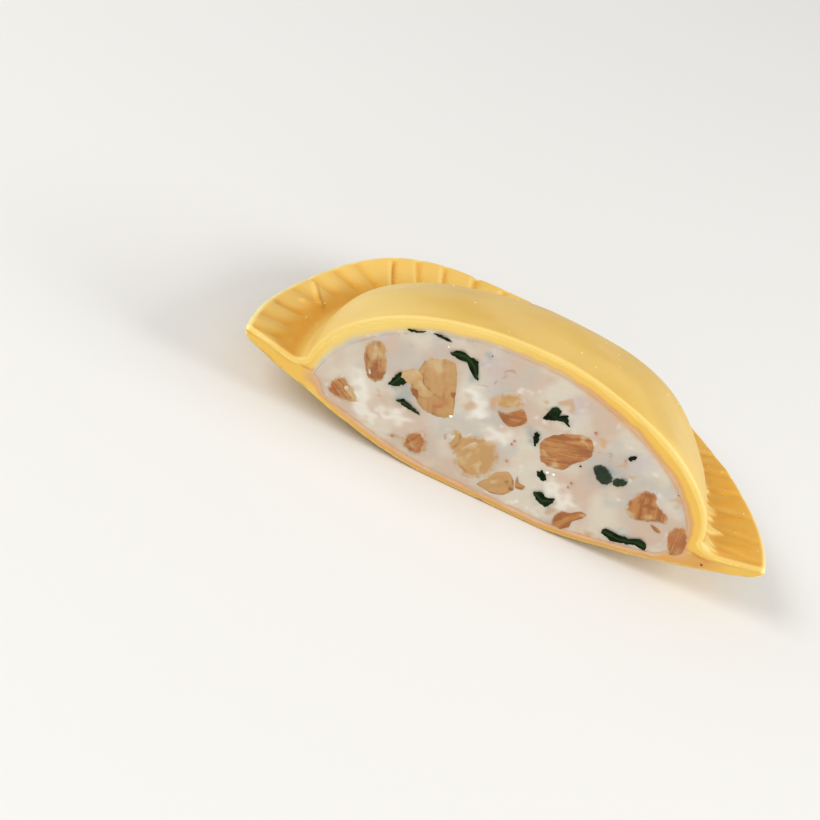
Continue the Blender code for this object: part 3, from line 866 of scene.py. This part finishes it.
# Thin shreds and skins, over is how far they stand in front of the other pieces.
scraps = [
    {"name": "mushroomFlap", "over": 0.14, "grain": 150, "tone": 1.0, "veil": 0.0,
     "outline": [(-16.9, 3.6), (-16.2, 4.9), (-14.9, 5.8), (-13.9, 5.3), (-13.3, 4.2),
         (-12.0, 3.6), (-11.3, 3.0), (-11.9, 2.2), (-12.9, 2.0), (-13.5, 2.8), (-14.2, 2.9),
         (-14.7, 3.5), (-15.9, 3.3)],
     "pale": [(-15.6, 4.4, 1.6), (-13.4, 3.6, 1.2)]},
    {"name": "mushroomPale", "over": -0.02, "grain": 40, "tone": 0.9, "veil": 0.4,
     "outline": [(-5.7, 6.1), (-4.6, 8.2), (-2.6, 9.0), (-0.9, 8.2), (-1.3, 7.1), (-2.6, 6.0),
         (-4.2, 5.2)],
     "pale": [(-2.4, 7.4, 0.8), (-4.4, 6.6, 0.7)]},
    {"name": "mushroomSlab", "over": -0.06, "grain": 75, "tone": 0.95, "veil": 0.26,
     "outline": [(-9.3, -1.2), (-7.8, 0.4), (-6.0, 0.2), (-4.4, 1.2), (-1.9, 1.5), (-0.2, -0.6),
         (0.4, -2.2), (0.3, -4.2), (-1.4, -6.0), (-3.9, -5.6), (-5.4, -4.4), (-6.5, -3.4),
         (-7.9, -2.4)],
     "pale": [(-7.4, -0.6, 0.9), (-2.6, 0.4, 0.8), (-4.6, -2.8, 1.0)],
     "creases": [[(-6.4, -0.2), (-6.0, -1.4), (-6.3, -3.0)]]},
    {"name": "mushroomEdge", "over": -0.04, "grain": 60, "tone": 0.7, "veil": 0.4,
     "outline": [(-13.4, -4.4), (-12.4, -4.0), (-11.6, -2.6), (-10.2, -1.9), (-9.0, -3.2),
         (-8.4, -4.8), (-8.9, -6.0), (-10.6, -6.6), (-12.2, -5.8)],
     "pale": [(-10.9, -4.4, 0.8)]},
    {"name": "mushroomSkin", "over": -0.04, "grain": 150, "tone": 0.8, "veil": 0.4,
     "outline": [(-21.9, -1.0), (-20.6, -0.6), (-19.2, -1.6), (-18.9, -2.8), (-19.8, -3.6),
         (-21.4, -3.4)],
     "pale": [(-20.2, -2.0, 0.9)]},
    {"name": "mushroomFlake", "over": 0.0, "grain": 20, "tone": 0.3, "veil": 0.1,
     "outline": [(2.3, -2.1), (2.9, -3.1), (4.1, -3.3), (3.9, -4.1), (3.0, -4.2), (2.6, -3.4)]},
    {"name": "mushroomTail", "over": 0.0, "grain": 150, "tone": 0.3, "veil": 0.2,
     "outline": [(19.6, -0.2), (20.4, -0.2), (21.6, -0.7), (21.5, -1.1), (20.4, -0.9)]},
]
chunkShape = {
    "columns": 110, "frontRows": 30, "backRows": 6, "roundness": 0.7, "proud": 0.10,
    "sunk": 0.06, "depth": 2.2, "scrapDepth": 0.6, "fibre": 0.025, "fibreSize": 0.8,
    "facet": 0.05, "facetSize": 3.0, "crease": 0.07, "creaseWidth": 0.10, "veilWiden": 1.5,
    "veilLeast": 0.08, "veilGain": 6.0, "borderShade": 0.30, "grainAcross": 1.6,
    "grainAlong": 0.2,
}


def smoothLoop(corners, columns, roundness):
    # closed curve through the corners, mixed with straight sides
    corners = np.array(corners)
    where = np.linspace(0.0, len(corners), columns, endpoint=False)
    start = where.astype(int)
    share = (where - start)[:, None]
    a, b, c, d = (corners[(start + shift) % len(corners)] for shift in (-1, 0, 1, 2))
    straight = b + (c - b) * share
    return curveBetween(a, b, c, d, share) * roundness + straight * (1.0 - roundness)


def bend(x, z):
    # coordinates shifted by about half a millimetre of slow noise
    reach, size = 0.45, 1.7
    return x + reach * lumps(x, 0.0, z, size, 3), z + reach * lumps(x, 0.0, z, size, 4)


def spotsValue(x, z, spots):
    # soft patches: bell curves round each middle, bent out of round
    total = np.zeros(np.shape(x))
    bentX, bentZ = bend(x, z)
    for spotX, spotZ, size in spots:
        far = ((bentX - spotX) ** 2 + (bentZ - spotZ) ** 2) / size**2
        total = np.maximum(total, np.exp(-far))
    return total


def makeChunk(name, data, finish, seed, deep):
    # the outline scaled from the middle to the edge is the cut face, then it runs back to
    # a point inside the filling
    look = chunkShape
    edge = smoothLoop(data["outline"], look["columns"], look["roundness"])
    middle = edge.mean(axis=0)
    edge = edge - middle
    edge = edge * (1.0 + 0.02 * lumps(edge[:, :1], edge[:, 1:], 0.0, 1.0, seed))
    front = np.linspace(0.0, 1.0, look["frontRows"]) ** 0.7
    behind = np.linspace(0.0, 1.0, look["backRows"] + 1)[1:]
    share = np.concatenate([front, 1.0 - behind**1.8])[:, None]
    x = share * edge[:, 0] + middle[0]
    z = share * edge[:, 1] + middle[1]
    isFront = np.concatenate([np.ones_like(front), np.zeros_like(behind)])[:, None]
    lift = look["proud"] + data.get("over", 0.0)
    face = -lift + (lift + look["sunk"]) * ease(0.72, 1.0, front)
    depth = np.concatenate([face, look["sunk"] + deep * np.sin(0.5 * math.pi * behind)])[:, None]
    turn = math.radians(data["grain"])
    cosine, sine = math.cos(turn), math.sin(turn)
    across, along = z * cosine - x * sine, 0.12 * (x * cosine + z * sine)
    fibres = look["fibre"] * lumps(across, along, 0.0, look["fibreSize"], seed + 1)
    facets = look["facet"] * lumps(x, 0.0, z, look["facetSize"], seed + 2)
    # creases are shallow grooves painted darker: partly the mushroom's brown lines, partly painted
    # shade in the fold
    crease = nearLines(x, z, map(smoothLine, data.get("creases", [])), look["creaseWidth"])
    crease = crease * np.clip(0.6 + 0.6 * lumps(x, 0.0, z, 1.1, seed + 3), 0.0, 1.0)
    calm = 1.0 - ease(0.6, 0.95, share)
    uneven = calm * (facets + fibres + look["crease"] * crease)
    y = depth + isFront * (fillingRelief(x, z) + uneven)
    veil = data["veil"] * look["veilWiden"] + look["veilLeast"]
    strength = min(1.0, veil * look["veilGain"])
    # painted shade: the border darkens where it sinks into the filling, less under a wide veil
    borderShadeMask = look["borderShade"] * ease(0.84, 0.96, share) * (1.0 - strength)
    patches = {key: spotsValue(x, z, data.get(key, [])) for key in ("pale", "dark", "red")}
    piece = makePiece(name, [{"points": np.stack([x, y, z], axis=-1), "closed": True, "values": {
        "tone": data["tone"], "veil": ease(0.98 - veil, 1.02, share) * strength,
        "crease": np.maximum(crease, borderShadeMask), **patches, **fillingPaint(x, z)}}], finish, 70.0)
    # the fibres follow the piece's own map, turned to its grain
    layer = piece.data.uv_layers.new(name="grain")
    corners = np.empty(len(piece.data.loops), dtype=np.int64)
    piece.data.loops.foreach_get("vertex_index", corners)
    where = np.empty(len(piece.data.vertices) * 3)
    piece.data.vertices.foreach_get("co", where)
    where = where.reshape(-1, 3)[corners] / millimetre
    x, z = where[:, 0], where[:, 2]
    uv = np.stack([(z * cosine - x * sine) * look["grainAcross"],
                   (x * cosine + z * sine) * look["grainAlong"] + seed], axis=-1)
    layer.data.foreach_set("uv", uv.reshape(-1).astype(np.float32))
    return piece


fillingShape = {
    "columns": 420, "faceRows": 150, "backRows": 12, "lump": 0.035, "lumpSize": 3.4,
    "small": 0.012, "smallSize": 1.1, "behind": 0.02, "overlap": 0.25, "borderDip": 0.05,
    "reachOver": 0.1, "backStart": 0.12, "backShare": 0.97, "strandWidth": 0.95,
    "lineWidth": 0.14,
    "strands": [[(-20.4, 0.4), (-19.2, -2.0), (-17.6, -3.6)], [(-15.6, -2.4), (-13.2, -2.0)],
        [(-7.4, 6.2), (-6.2, 5.2), (-5.8, 3.4)], [(6.4, -1.0), (8.4, -2.6), (9.8, -2.8)],
        [(-3.0, 1.6), (-1.0, 2.0)]],
    "lines": [[(-7.3, 7.5), (-6.6, 7.9), (-5.7, 9.8), (-5.0, 11.3)],
        [(9.7, 6.4), (10.8, 6.6), (11.0, 5.8)]],
    "herbStain": [(-14.8, 1.2, 1.4), (-16.4, 1.8, 0.9), (0.9, 4.6, 0.8), (1.2, 3.4, 0.7),
        (11.6, 3.4, 2.0), (6.9, -3.6, 1.1), (18.2, -4.0, 1.2), (-8.6, 7.9, 0.9),
        (-8.2, 11.3, 0.5)],
    "tan": [(-7.3, 3.9, 1.0), (-13.4, -4.7, 0.6), (-17.9, -0.3, 0.5), (-18.9, 9.2, 0.5),
        (0.4, 9.2, 0.6), (-4.7, 6.3, 0.9), (9.4, 7.6, 0.8), (12.9, 6.0, 0.6), (14.8, 5.0, 0.6),
        (8.2, -4.6, 1.0), (20.9, 4.2, 0.8), (0.4, -0.8, 0.5), (3.4, 10.4, 0.8),
        (-17.5, -4.4, 0.5), (13.6, -5.4, 0.9)],
    "lavender": [(-7.2, 11.2, 1.5), (-6.3, 9.4, 1.2), (-20.6, 8.6, 1.0), (14.6, 7.4, 1.4),
        (4.2, 10.6, 1.4)],
}


def fillingRelief(x, z):
    # soft lumps of the cut filling, as a distance behind the cut plane
    shape = fillingShape
    relief = shape["lump"] * lumps(x, 0.0, z, shape["lumpSize"], 31)
    relief = relief + shape["small"] * lumps(x, 0.0, z, shape["smallSize"], 32)
    return relief + shape["behind"]


def fillingPaint(x, z):
    # how much of each colour lies at a point of the cut face
    shape = fillingShape
    side = np.where(x < 0.0, math.pi, 0.0)
    top = topInside(np.abs(x), side) + shape["overlap"]
    low = bottomInside(np.abs(x), side) - shape["overlap"]
    rightSide = 0.35 + 0.65 * ease(-16.0, 8.0, x)
    near = 0.9 * rightSide * (1.0 - ease(0.1, 1.9, top - z))
    near = near + 0.85 * (1.0 - ease(0.1, 1.3, z - low))
    ends = 0.3 * ease(-21.5, -25.5, x) + 0.8 * ease(21.0, 25.0, x)
    bent = bend(x, z)
    strand = nearLines(*bent, map(smoothLine, shape["strands"]), shape["strandWidth"])
    drawn = nearLines(*bent, map(smoothLine, shape["lines"]), shape["lineWidth"])
    drawn = drawn * np.clip(0.5 + 0.6 * lumps(x, 0.0, z, 1.3, 33), 0.0, 1.0)
    patches = {key: spotsValue(x, z, shape[key]) for key in ("herbStain", "tan", "lavender")}
    edge = np.clip(np.maximum(near, ends), 0.0, 1.0)
    return {"edge": edge, "strand": strand, "line": drawn, **patches}


def makeFilling(finish):
    # slices along x: each goes up the cut face, back along the vault and home on the bowl
    shape = fillingShape
    theta = np.array([0.0, math.pi])
    reach = domeRadius(theta) - lens["topSheetSide"] + shape["reachOver"]
    turn = np.linspace(-math.pi / 2, math.pi / 2, shape["columns"])[None, :]
    middle = (reach[0] - reach[1]) / 2.0
    half = (reach[0] + reach[1]) / 2.0
    x = middle + half * np.sin(turn)
    side = np.where(x < 0.0, math.pi, 0.0)
    top = topInside(np.abs(x), side) + shape["overlap"]
    low = np.minimum(bottomInside(np.abs(x), side) - shape["overlap"], top)
    rise = np.linspace(0.0, 1.0, shape["faceRows"])[:, None]
    z = low + (top - low) * rise
    faceX = x + 0.0 * z
    border = np.minimum(z - low, top - z)
    y = fillingRelief(faceX, z) + shape["borderDip"] * (1.0 - ease(0.2, 1.0, border))
    face = np.stack([faceX, y, z], axis=-1)
    back = np.linspace(0.0, 1.0, shape["backRows"] + 1)[1:, None]
    span = np.sqrt(np.clip(half**2 - (x - middle) ** 2, 0.0, None)) * shape["backShare"]
    deepY = shape["backStart"] + np.clip(span - shape["backStart"], 0.0, None) * back
    deepX = x + 0.0 * deepY
    radius = np.hypot(deepX, deepY)
    angle = np.arctan2(deepY, deepX)
    roof = topInside(radius, angle) + shape["reachOver"]
    ground = np.minimum(bottomInside(radius, angle) - shape["reachOver"], roof)
    vault = np.stack([deepX, deepY, roof], axis=-1)
    bowl = np.stack([deepX, deepY, ground], axis=-1)
    points = np.concatenate([face, vault, bowl[::-1], face[:1]])

    def whole(values):
        empty = np.zeros((len(points) - len(values), values.shape[1]))
        return np.concatenate([values, empty])

    paint = {key: whole(value) for key, value in fillingPaint(faceX, z).items()}
    piece = makePiece("fillingBody", [{"points": points, "values": paint}], finish, 80.0)
    print("filling:", len(piece.data.polygons), "faces")
    return piece


# Each flake of herb is given by its outline, with its vein as a line.
flakes = [
    {"outline": [(-18.4, 10.3), (-17.3, 10.6), (-16.3, 11.1), (-16.5, 10.8), (-17.2, 10.4),
         (-18.0, 10.1)]},
    {"outline": [(-15.5, 11.3), (-14.6, 11.6), (-13.8, 11.5), (-12.9, 11.3), (-13.9, 11.1),
         (-14.7, 11.2)]},
    {"outline": [(-12.5, 10.0), (-11.9, 10.6), (-10.9, 10.8), (-10.1, 10.5), (-9.1, 10.6),
         (-8.5, 9.4), (-7.9, 7.8), (-8.8, 8.4), (-9.4, 9.0), (-10.0, 9.6), (-11.0, 9.8),
         (-12.0, 9.5)],
     "vein": [(-12.2, 9.9), (-10.6, 10.3), (-9.2, 9.6), (-8.1, 8.0)]},
    {"outline": [(-17.1, 1.9), (-16.9, 3.2), (-16.5, 4.3), (-15.9, 3.9), (-15.2, 3.2),
         (-15.9, 2.3)],
     "vein": [(-16.8, 2.1), (-16.2, 3.8)]},
    {"outline": [(-15.3, 0.3), (-14.6, 0.8), (-13.7, 0.7), (-12.7, 0.3), (-11.8, -0.2),
         (-13.3, -0.2), (-14.4, 0.0)],
     "vein": [(-15.1, 0.3), (-13.6, 0.3), (-12.1, -0.1)]},
    {"outline": [(1.3, 6.9), (1.4, 8.0), (1.6, 9.2), (2.3, 9.5), (2.7, 9.1), (2.0, 8.9),
         (2.2, 8.5), (3.0, 8.1), (3.3, 8.8), (3.7, 8.9), (4.0, 8.3), (4.7, 7.6), (3.7, 7.9),
         (3.1, 7.7), (2.4, 7.4)]},
    {"outline": [(1.3, 4.4), (1.6, 5.0), (2.0, 4.6), (2.4, 3.6), (2.2, 2.9), (1.7, 3.6)]},
    {"outline": [(4.1, -0.4), (4.6, 0.1), (5.2, -0.3), (5.9, -0.9), (5.1, -1.2), (4.6, -0.9)]},
    {"outline": [(5.1, -3.4), (6.0, -2.9), (6.7, -3.2), (7.2, -3.4), (7.8, -2.8), (8.0, -3.6),
         (7.4, -4.6), (6.4, -4.5), (5.8, -4.1)],
     "vein": [(5.3, -3.4), (6.6, -3.9), (7.6, -3.5)]},
    {"veil": 0.35,
     "outline": [(9.7, 3.8), (10.4, 4.5), (11.3, 4.4), (12.5, 3.6), (12.6, 2.5), (11.9, 2.2),
         (11.0, 2.4), (10.4, 3.0)]},
    {"veil": 0.35,
     "outline": [(12.8, 3.5), (13.5, 4.0), (14.4, 4.1), (14.2, 3.2), (13.5, 2.6), (12.9, 2.8)]},
    {"outline": [(15.1, -4.5), (15.3, -3.7), (16.0, -3.7), (16.7, -4.0), (17.9, -3.6),
         (18.7, -3.7), (19.2, -3.2), (19.8, -2.8), (20.9, -3.3), (21.1, -4.1), (20.2, -4.0),
         (19.2, -4.4), (18.0, -4.7), (16.9, -5.1), (16.0, -4.8)],
     "vein": [(15.4, -4.2), (17.6, -4.3), (19.6, -3.7), (20.9, -3.8)]},
    {"outline": [(12.9, 7.2), (13.3, 7.8), (13.7, 7.9), (13.6, 7.3), (13.2, 6.9)]},
]
flakeShape = {
    "columns": 90, "rows": 9, "roundness": 0.35, "proud": 0.15, "thickness": 0.10,
    "frill": 0.08, "wave": 0.07, "vein": 0.05, "veinWidth": 0.10,
}


def flakeGrid(data, seed):
    # thin closed plate with a wavy face: outline scaled from its middle, front then back
    look = flakeShape
    edge = smoothLoop(data["outline"], look["columns"], look["roundness"])
    frill = [lumps(edge[:, 0], 0.0, edge[:, 1], 0.5, seed + way) for way in (1, 2)]
    edge = edge + look["frill"] * np.stack(frill, axis=-1)
    middle = edge.mean(axis=0)
    half = np.linspace(0.0, 1.0, look["rows"])
    share = np.concatenate([half, half[-2::-1]])[:, None]
    x = share * (edge[:, 0] - middle[0]) + middle[0]
    z = share * (edge[:, 1] - middle[1]) + middle[1]
    side = np.concatenate([-np.ones(look["rows"]), np.ones(look["rows"] - 1)])[:, None]
    side = side * (1.0 - share**6)
    veins = [smoothLine(data["vein"])] if "vein" in data else []
    vein = nearLines(x, z, veins, look["veinWidth"])
    wave = look["wave"] * lumps(x, 0.0, z, 1.4, seed)
    y = fillingRelief(x, z) - look["proud"] + wave + side * look["thickness"] / 2.0
    y = y + look["vein"] * vein
    veil = data.get("veil", 0.0) * (1.0 + ease(0.6, 1.0, share))
    return {"points": np.stack([x, y, z], axis=-1), "closed": True,
            "values": {"vein": vein, "veil": veil}}


def makeHerbs(finish):
    grids = [flakeGrid(data, 50 + number) for number, data in enumerate(flakes)]
    return makePiece("herbs", grids, finish, 80.0)


def beadGrid(centre, size, seed, rows=9, columns=12):
    # a slightly uneven ball with its own radii along x, y and z
    polar = np.linspace(0.0, math.pi, rows)[:, None]
    turn = np.linspace(0.0, 2.0 * math.pi, columns, endpoint=False)[None, :]
    x = np.sin(polar) * np.cos(turn)
    y = np.sin(polar) * np.sin(turn)
    z = np.cos(polar) + 0.0 * turn
    uneven = 1.0 + 0.18 * lumps(x, y, z, 2.2, seed, 6)
    ball = np.stack([x, y, z], axis=-1) * uneven[..., None] * np.array(size)
    return {"points": ball + np.array(centre), "closed": True}


# Small beads on the cut face, each kind as x, z and size.
beadShape = {"proud": 0.16, "height": 0.8, "patch": 0.5}
specks = [
    {"name": "darkSpecks", "finish": "pepperFinish", "roughness": 0.5, "flatness": 0.6,
     "tones": [tone(24, 20, 16), tone(50, 36, 24)],
     "places": [(8.4, 3.1, 0.16), (-7.9, 12.0, 0.10), (28.1, -2.5, 0.14), (20.6, 5.4, 0.09)]},
    {"name": "redSpecks", "finish": "redFinish", "roughness": 0.4, "flatness": 0.6,
     "tones": [tone(176, 92, 60), tone(204, 130, 110)],
     "places": [(-0.2, 2.3, 0.20), (-0.3, 1.7, 0.16), (8.6, 0.2, 0.18), (8.5, -0.5, 0.16),
                (7.8, 8.4, 0.22), (0.3, -0.9, 0.16), (-13.5, -4.8, 0.2), (12.8, 6.6, 0.16)]},
    # white glossy beads that stand for the glints on the wet filling: painted highlights
    {"name": "glintBeads", "finish": "glintFinish", "roughness": 0.12, "flatness": 0.5,
     "tones": [tone(250, 246, 236), tone(255, 250, 244)],
     "places": [(-8.5, 1.6, 0.24), (5.3, 0.2, 0.20), (6.1, 0.3, 0.22), (-13.0, 10.5, 0.12)]},
]


def makeSpecks(data):
    finish = plainFinish(data["finish"], *data["tones"], beadShape["patch"], data["roughness"])
    grids = []
    for number, (x, z, size) in enumerate(data["places"]):
        y = float(fillingRelief(np.array(x), np.array(z))) - beadShape["proud"]
        sizes = (size, size * data["flatness"], size * beadShape["height"])
        grids.append(beadGrid((x, y, z), sizes, 70 + number))
    return makePiece(data["name"], grids, finish, 80.0)


grainLook = {"count": 46, "small": 0.07, "large": 0.15}


def makeGrains(finish):
    # tiny pale grains that stick to the dome and the flange
    chance = np.random.default_rng(17)
    grids = []
    for number in range(grainLook["count"]):
        theta = chance.uniform(0.05, math.pi - 0.05)
        radius = rimRadius(theta) * math.sqrt(chance.uniform(0.01, 0.92))
        size = chance.uniform(grainLook["small"], grainLook["large"])
        height = float(topOutside(radius, theta)) + 0.3 * size
        centre = (radius * math.cos(theta), radius * math.sin(theta), height)
        grids.append(beadGrid(centre, (size, size * 0.8, size * 0.6), 100 + number, 6, 8))
    return makePiece("semolinaGrains", grids, finish, 80.0)


def register(piece, node=""):
    # hides the solid a piece stands for and hangs the piece on the body it rides on
    if node:
        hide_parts(node)
    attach(piece, "root")


def makeAll():
    pasta = pastaFinish()
    brown = mushroomFinish()
    register(makeTopSheet(pasta), "pasta_top")
    register(makeBottomSheet(pasta), "pasta_bottom")
    register(makeFilling(fillingFinish()), "filling")
    for number, data in enumerate(mushrooms):
        name, node = f"mushroomPiece{number + 1}", f"mushroom_{number + 1}"
        piece = makeChunk(name, data, brown, 200 + 7 * number, chunkShape["depth"])
        register(piece, node)
    for number, data in enumerate(scraps):
        piece = makeChunk(data["name"], data, brown, 300 + 7 * number, chunkShape["scrapDepth"])
        register(piece)
    print("mushroom pieces:", len(mushrooms) + len(scraps))
    register(makeHerbs(herbFinish()))
    print("herb flakes:", len(flakes))
    for data in specks:
        register(makeSpecks(data))
    grainTones = tone(250, 232, 180), tone(240, 214, 150)
    register(makeGrains(plainFinish("grainFinish", *grainTones, 1.0, 0.5)))
    print("specks and grains done")


studio = {
    "floor": tone(230, 228, 224), "floorSize": 3.0, "floorGap": 0.00005, "world": 0.47,
    "lamps": [
        {"name": "keyLeft", "from": (-0.40, -0.21, 0.40), "size": 0.30, "power": 1.60},
        {"name": "fillRight", "from": (0.47, -0.04, 0.24), "size": 0.30, "power": 1.75},
        {"name": "fillFront", "from": (0.02, -0.48, 0.26), "size": 0.40, "power": 0.55},
        {"name": "backLeft", "from": (-0.46, 0.14, 0.24), "size": 0.30, "power": 0.35},
    ],
}
view = {"azimuth": -8.4, "elevation": 34.8, "roll": 30.2, "distance": 283.5, "across": 11.94,
        "upwards": -5.43, "angle": 20.0}


def makeStudio():
    mesh = bpy.data.meshes.new("floor")
    half = studio["floorSize"] / 2.0
    level = cadLow.z - studio["floorGap"]
    mesh.from_pydata([(-half, -half, level), (half, -half, level), (half, half, level),
                      (-half, half, level)], [], [(0, 1, 2, 3)])
    floor = addObject("floor", mesh)
    finish, shader, *_ = newFinish("floorFinish")
    shader.inputs["Base Color"].default_value = studio["floor"]
    shader.inputs["Roughness"].default_value = 0.8
    mesh.materials.append(finish)
    world = bpy.data.worlds.new("studioWorld")
    world.use_nodes = True
    background = world.node_tree.nodes["Background"]
    background.inputs["Color"].default_value = (1.0, 1.0, 1.0, 1.0)
    background.inputs["Strength"].default_value = studio["world"]
    bpy.context.scene.world = world
    target = (Vector(cadLow) + Vector(cadHigh)) / 2.0
    for data in studio["lamps"]:
        lamp = bpy.data.lights.new(data["name"], "AREA")
        lamp.shape = "DISK"
        lamp.size = data["size"]
        lamp.energy = data["power"]
        holder = addObject(data["name"], lamp)
        holder.location = target + Vector(data["from"])
        holder.rotation_euler = (-Vector(data["from"])).to_track_quat("-Z", "Y").to_euler()
    print("studio:", len(studio["lamps"]), "lamps")


def makeCamera():
    # the camera looks at the middle of the cut from the front, turned about its own axis
    azimuth, elevation = math.radians(view["azimuth"]), math.radians(view["elevation"])
    roll, flatPart = math.radians(view["roll"]), math.cos(elevation)
    back = Vector((math.sin(azimuth) * flatPart, -math.cos(azimuth) * flatPart,
                   math.sin(elevation)))
    level = Vector((0.0, 0.0, 1.0)).cross(back).normalized()
    upright = back.cross(level)
    right = math.cos(roll) * level + math.sin(roll) * upright
    up = math.cos(roll) * upright - math.sin(roll) * level
    spot = view["distance"] * back - view["across"] * right - view["upwards"] * up
    data = bpy.data.cameras.new("camera")
    data.angle = math.radians(view["angle"])
    data.clip_start = 0.01
    camera = addObject("camera", data)
    turn = Matrix((right, up, back)).transposed().to_4x4()
    turn.translation = (spot + Vector((0.0, cutY, seamZ))) * millimetre
    camera.matrix_world = turn
    bpy.context.scene.camera = camera


makeAll()
makeStudio()
makeCamera()
bpy.context.scene.view_settings.view_transform = "Standard"
bpy.context.view_layer.update()
